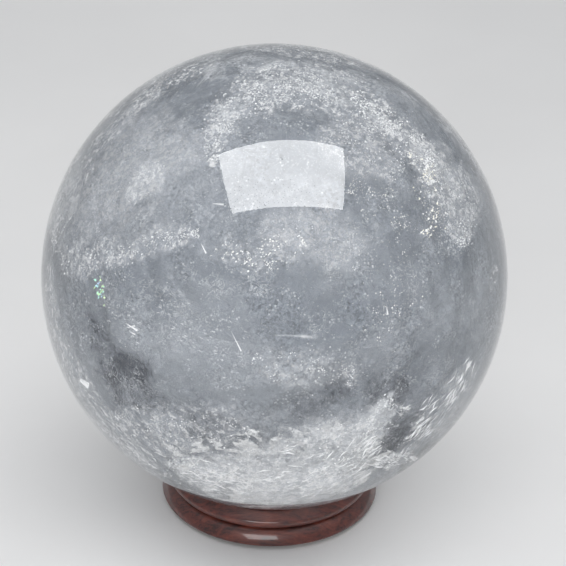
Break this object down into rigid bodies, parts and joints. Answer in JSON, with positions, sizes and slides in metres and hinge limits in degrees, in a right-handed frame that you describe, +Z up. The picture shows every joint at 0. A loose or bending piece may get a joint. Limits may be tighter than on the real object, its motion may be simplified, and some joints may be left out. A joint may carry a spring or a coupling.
{
  "type": "crystal ball",
  "caption": "Polished clouded quartz crystal ball that rests loose on a low turned ring stand with a felt-lined seat and a felt foot.",
  "frame": {"origin": "middle of the stand's felt foot, on the table, straight below the ball's centre", "axes": "+Z up along the axis of the stand and the ball, X and Y level"},
  "size_m": [0.08, 0.08, 0.0839],
  "materials": {
    "quartz": "polished, milky inside",
    "rosewood": "dark red-brown, gloss lacquer",
    "seat_felt": "short felt nap",
    "foot_felt": "pressed felt"
  },
  "bodies": {
    "stand": {"base_ring": "rosewood", "seat_ring": "rosewood", "seat_felt": "seat_felt", "foot_felt": "foot_felt"},
    "ball": {"crystal_ball": "quartz"}
  },
  "joints": [
    {"name": "ball_lift", "type": "slide", "parent": "stand", "child": "ball", "axis": [0, 0, 1], "range_m": [0, 0.03]}
  ]
}
